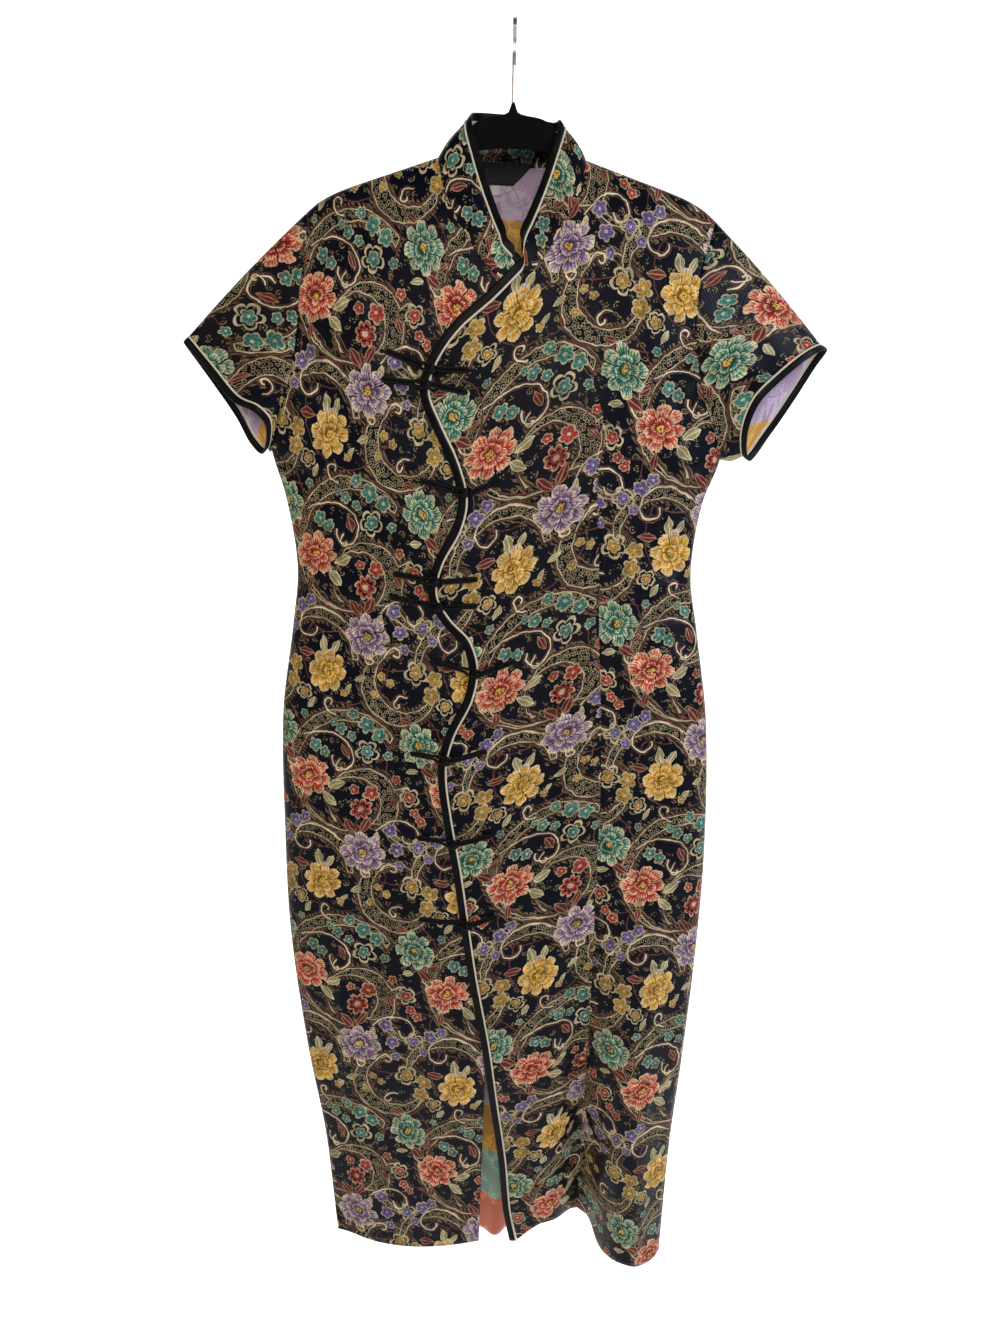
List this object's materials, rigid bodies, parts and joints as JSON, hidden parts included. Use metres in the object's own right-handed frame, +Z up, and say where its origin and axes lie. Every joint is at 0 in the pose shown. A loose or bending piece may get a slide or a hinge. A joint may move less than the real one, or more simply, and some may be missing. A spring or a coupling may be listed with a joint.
{
  "type": "brocade cheongsam dress on a velvet hanger",
  "caption": "Long short-sleeved brocade dress with a stand collar, a curved overlap closed by corded frogs and a front slit, hung on a thin velvet hanger.",
  "frame": {"origin": "inside top of the hanger's hook, where it rests on a rod", "axes": "+Z up along the hook's stem; -Y the dress's front; +X the wearer's left"},
  "size_m": [0.6282, 0.1014, 1.3553],
  "materials": {
    "brocade": "silky woven brocade, flowers and scrolls on near-black",
    "satin": "black satin",
    "cream_piping": "cream satin cord",
    "label": "plain woven tape",
    "size_tag": "plain white tape",
    "velvet": "black flocking",
    "steel_wire": "polished wire"
  },
  "bodies": {
    "root": {"front_left": "brocade", "front_right": "brocade", "back": "brocade", "collar": "brocade", "sleeve_left": "brocade", "sleeve_right": "brocade", "overlap_piping": "cream_piping", "collar_piping": "cream_piping", "cuff_left_piping": "cream_piping", "cuff_right_piping": "cream_piping", "overlap_binding": "satin", "collar_binding": "satin", "cuff_left_binding": "satin", "cuff_right_binding": "satin", "neck_label": "label", "size_tag": "size_tag", "hanger_body": "velvet", "hanger_hook": "steel_wire", "frog_1_loop": "satin", "frog_1_knot": "satin", "frog_1_tail": "satin", "frog_2_loop": "satin", "frog_2_knot": "satin", "frog_2_tail": "satin", "frog_3_loop": "satin", "frog_3_knot": "satin", "frog_3_tail": "satin", "frog_4_loop": "satin", "frog_4_knot": "satin", "frog_4_tail": "satin", "frog_5_loop": "satin", "frog_5_knot": "satin", "frog_5_tail": "satin", "frog_6_loop": "satin", "frog_6_knot": "satin", "frog_6_tail": "satin", "frog_7_loop": "satin", "frog_7_knot": "satin", "frog_7_tail": "satin", "frog_8_loop": "satin", "frog_8_knot": "satin", "frog_8_tail": "satin", "frog_9_loop": "satin", "frog_9_knot": "satin", "frog_9_tail": "satin"}
  },
  "joints": []
}
